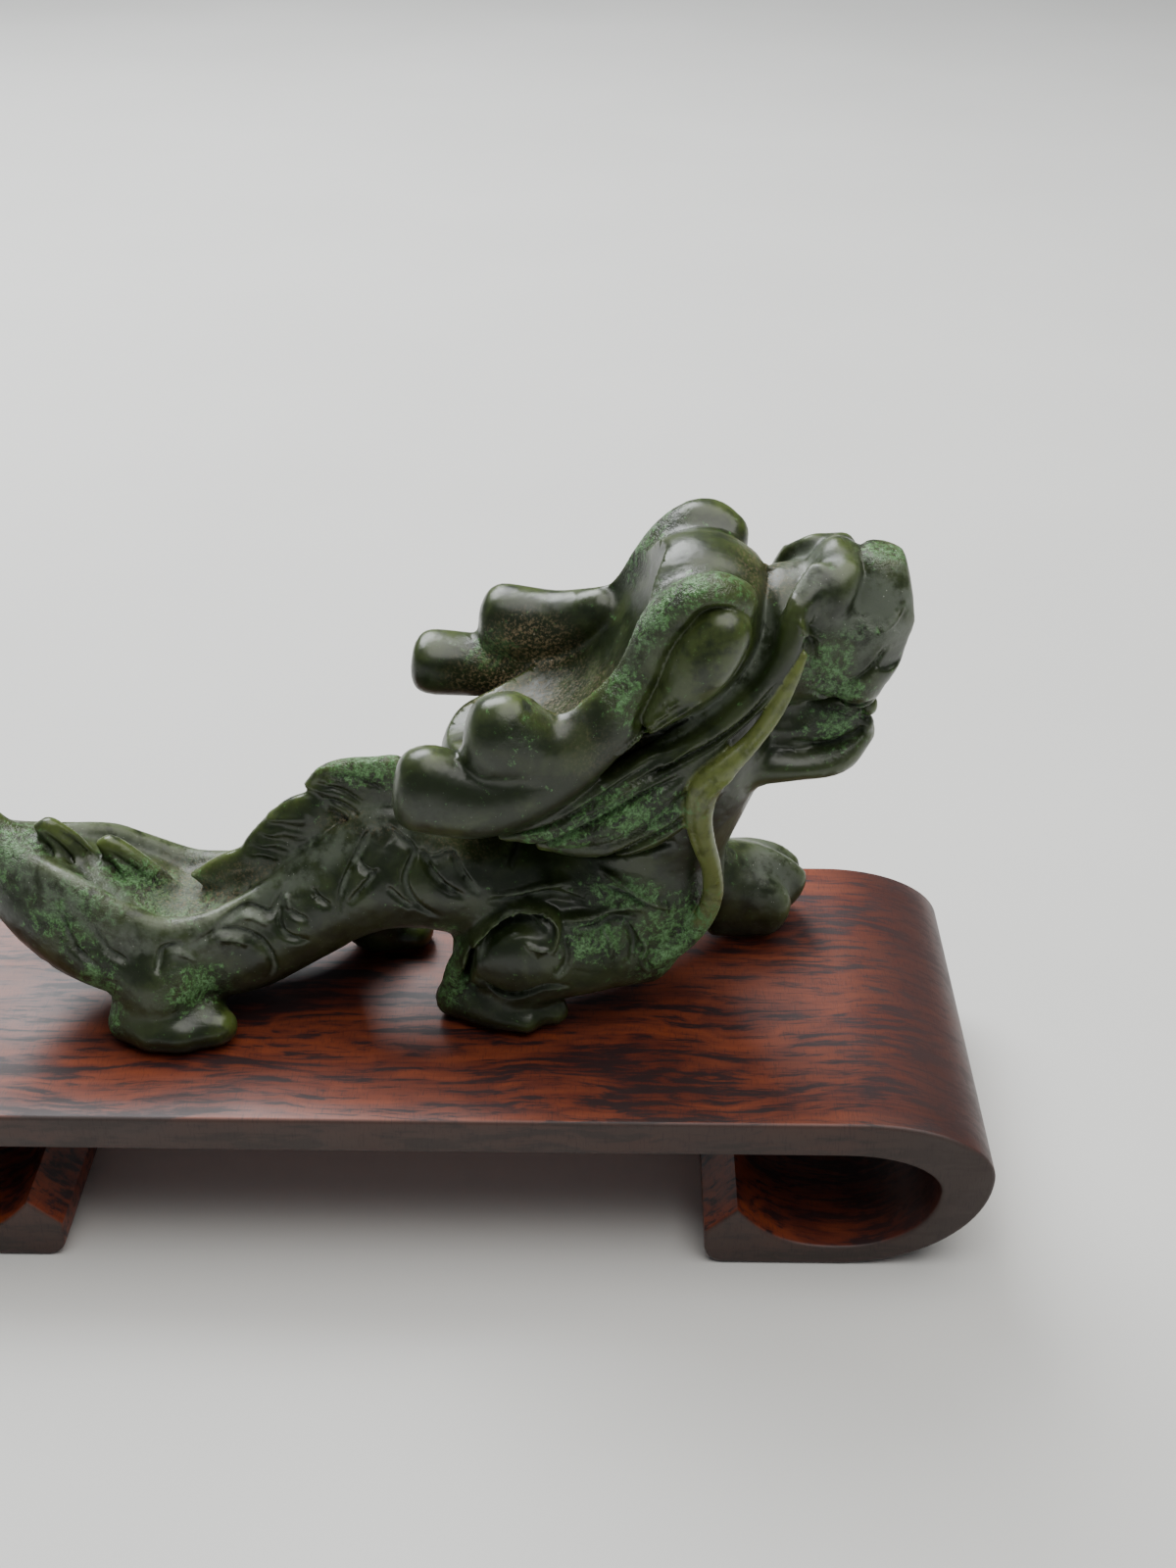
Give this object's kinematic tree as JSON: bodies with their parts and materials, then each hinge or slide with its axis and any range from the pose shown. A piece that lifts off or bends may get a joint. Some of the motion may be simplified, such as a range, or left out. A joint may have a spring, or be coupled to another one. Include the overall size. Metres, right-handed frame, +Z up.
{
  "type": "jade dragon carving",
  "caption": "Dark green jade dragon, carved in one piece, walking with its head raised and its mane swept back, on a rosewood stand whose ends roll under into scrolls.",
  "frame": {"origin": "middle of the stand's footprint, on the surface that it stands on", "axes": "+X the way the dragon faces, along the stand; +Y from the dragon's near side to its far side; +Z up"},
  "size_m": [0.152, 0.056, 0.0864],
  "materials": {
    "rosewood": "satin",
    "jade": "polished"
  },
  "bodies": {
    "root": {"rosewood_stand": "rosewood", "jade_dragon": "jade"}
  },
  "joints": []
}
